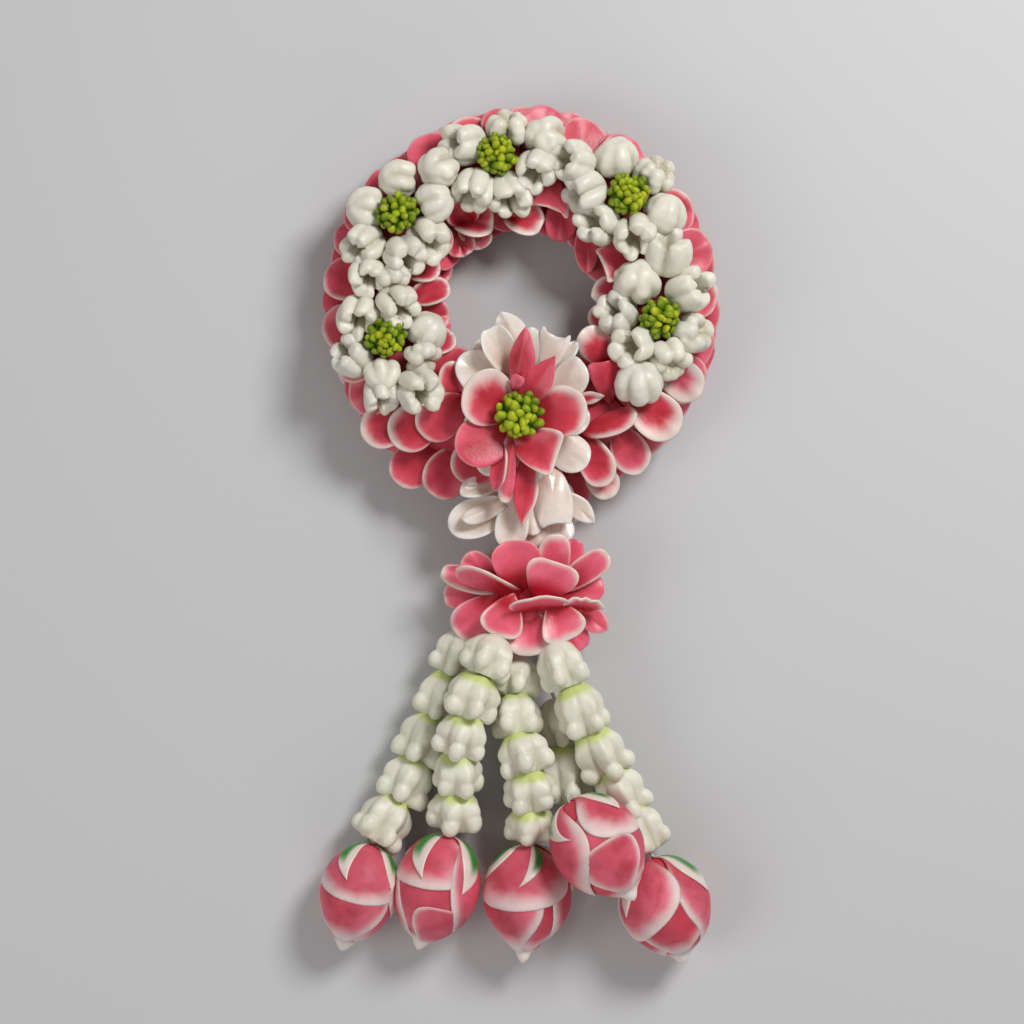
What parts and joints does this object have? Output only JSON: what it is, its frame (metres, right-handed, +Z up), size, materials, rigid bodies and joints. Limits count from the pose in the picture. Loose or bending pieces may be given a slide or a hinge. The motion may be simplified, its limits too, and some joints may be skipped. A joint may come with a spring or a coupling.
{
  "type": "flower garland",
  "caption": "Garland laid flat: a petal ring with jasmine clusters and a bloom, a neck and petal collar below it, and strands of ribbed bell flowers that end in rosebuds.",
  "frame": {"origin": "centre of the bounding box in X and Y, on the surface that the garland lies on", "axes": "+Z up from the surface towards the viewer, +Y from the buds to the top of the ring, +X to the right as seen from above"},
  "size_m": [0.1006, 0.2146, 0.0345],
  "materials": {
    "pink_petal": "satin",
    "white_petal": "satin",
    "sepal_green": "satin",
    "centre_green": "satin",
    "thread": "matte"
  },
  "bodies": {
    "root": {"bloom_green_centre": "centre_green", "bloom_pink_petals": "pink_petal", "bloom_white_petals": "white_petal", "bud_1": "pink_petal", "bud_2": "pink_petal", "bud_3": "pink_petal", "bud_4": "pink_petal", "bud_5": "pink_petal", "bud_sepals_1": "sepal_green", "bud_sepals_2": "sepal_green", "bud_sepals_3": "sepal_green", "bud_sepals_4": "sepal_green", "bud_sepals_5": "sepal_green", "collar_pink_petals": "pink_petal", "crown_flower_1_1": "white_petal", "crown_flower_1_2": "white_petal", "crown_flower_1_3": "white_petal", "crown_flower_1_4": "white_petal", "crown_flower_1_5": "white_petal", "crown_flower_2_1": "white_petal", "crown_flower_2_2": "white_petal", "crown_flower_2_3": "white_petal", "crown_flower_2_4": "white_petal", "crown_flower_2_5": "white_petal", "crown_flower_3_1": "white_petal", "crown_flower_3_2": "white_petal", "crown_flower_3_3": "white_petal", "crown_flower_3_4": "white_petal", "crown_flower_3_5": "white_petal", "crown_flower_4_1": "white_petal", "crown_flower_4_2": "white_petal", "crown_flower_5_1": "white_petal", "crown_flower_5_2": "white_petal", "crown_flower_5_3": "white_petal", "crown_flower_5_4": "white_petal", "crown_flower_5_5": "white_petal", "green_centre_1": "centre_green", "green_centre_2": "centre_green", "green_centre_3": "centre_green", "green_centre_4": "centre_green", "green_centre_5": "centre_green", "jasmine_cluster_1": "white_petal", "jasmine_cluster_2": "white_petal", "jasmine_cluster_3": "white_petal", "jasmine_cluster_4": "white_petal", "jasmine_cluster_5": "white_petal", "neck_white_petals": "white_petal", "ring_petals_1": "pink_petal", "ring_petals_2": "pink_petal", "ring_petals_3": "pink_petal", "ring_petals_4": "pink_petal", "ring_petals_5": "pink_petal", "ring_petals_6": "pink_petal", "ring_petals_7": "pink_petal", "ring_petals_8": "pink_petal", "ring_thread": "thread", "tassel_threads": "thread"}
  },
  "joints": []
}
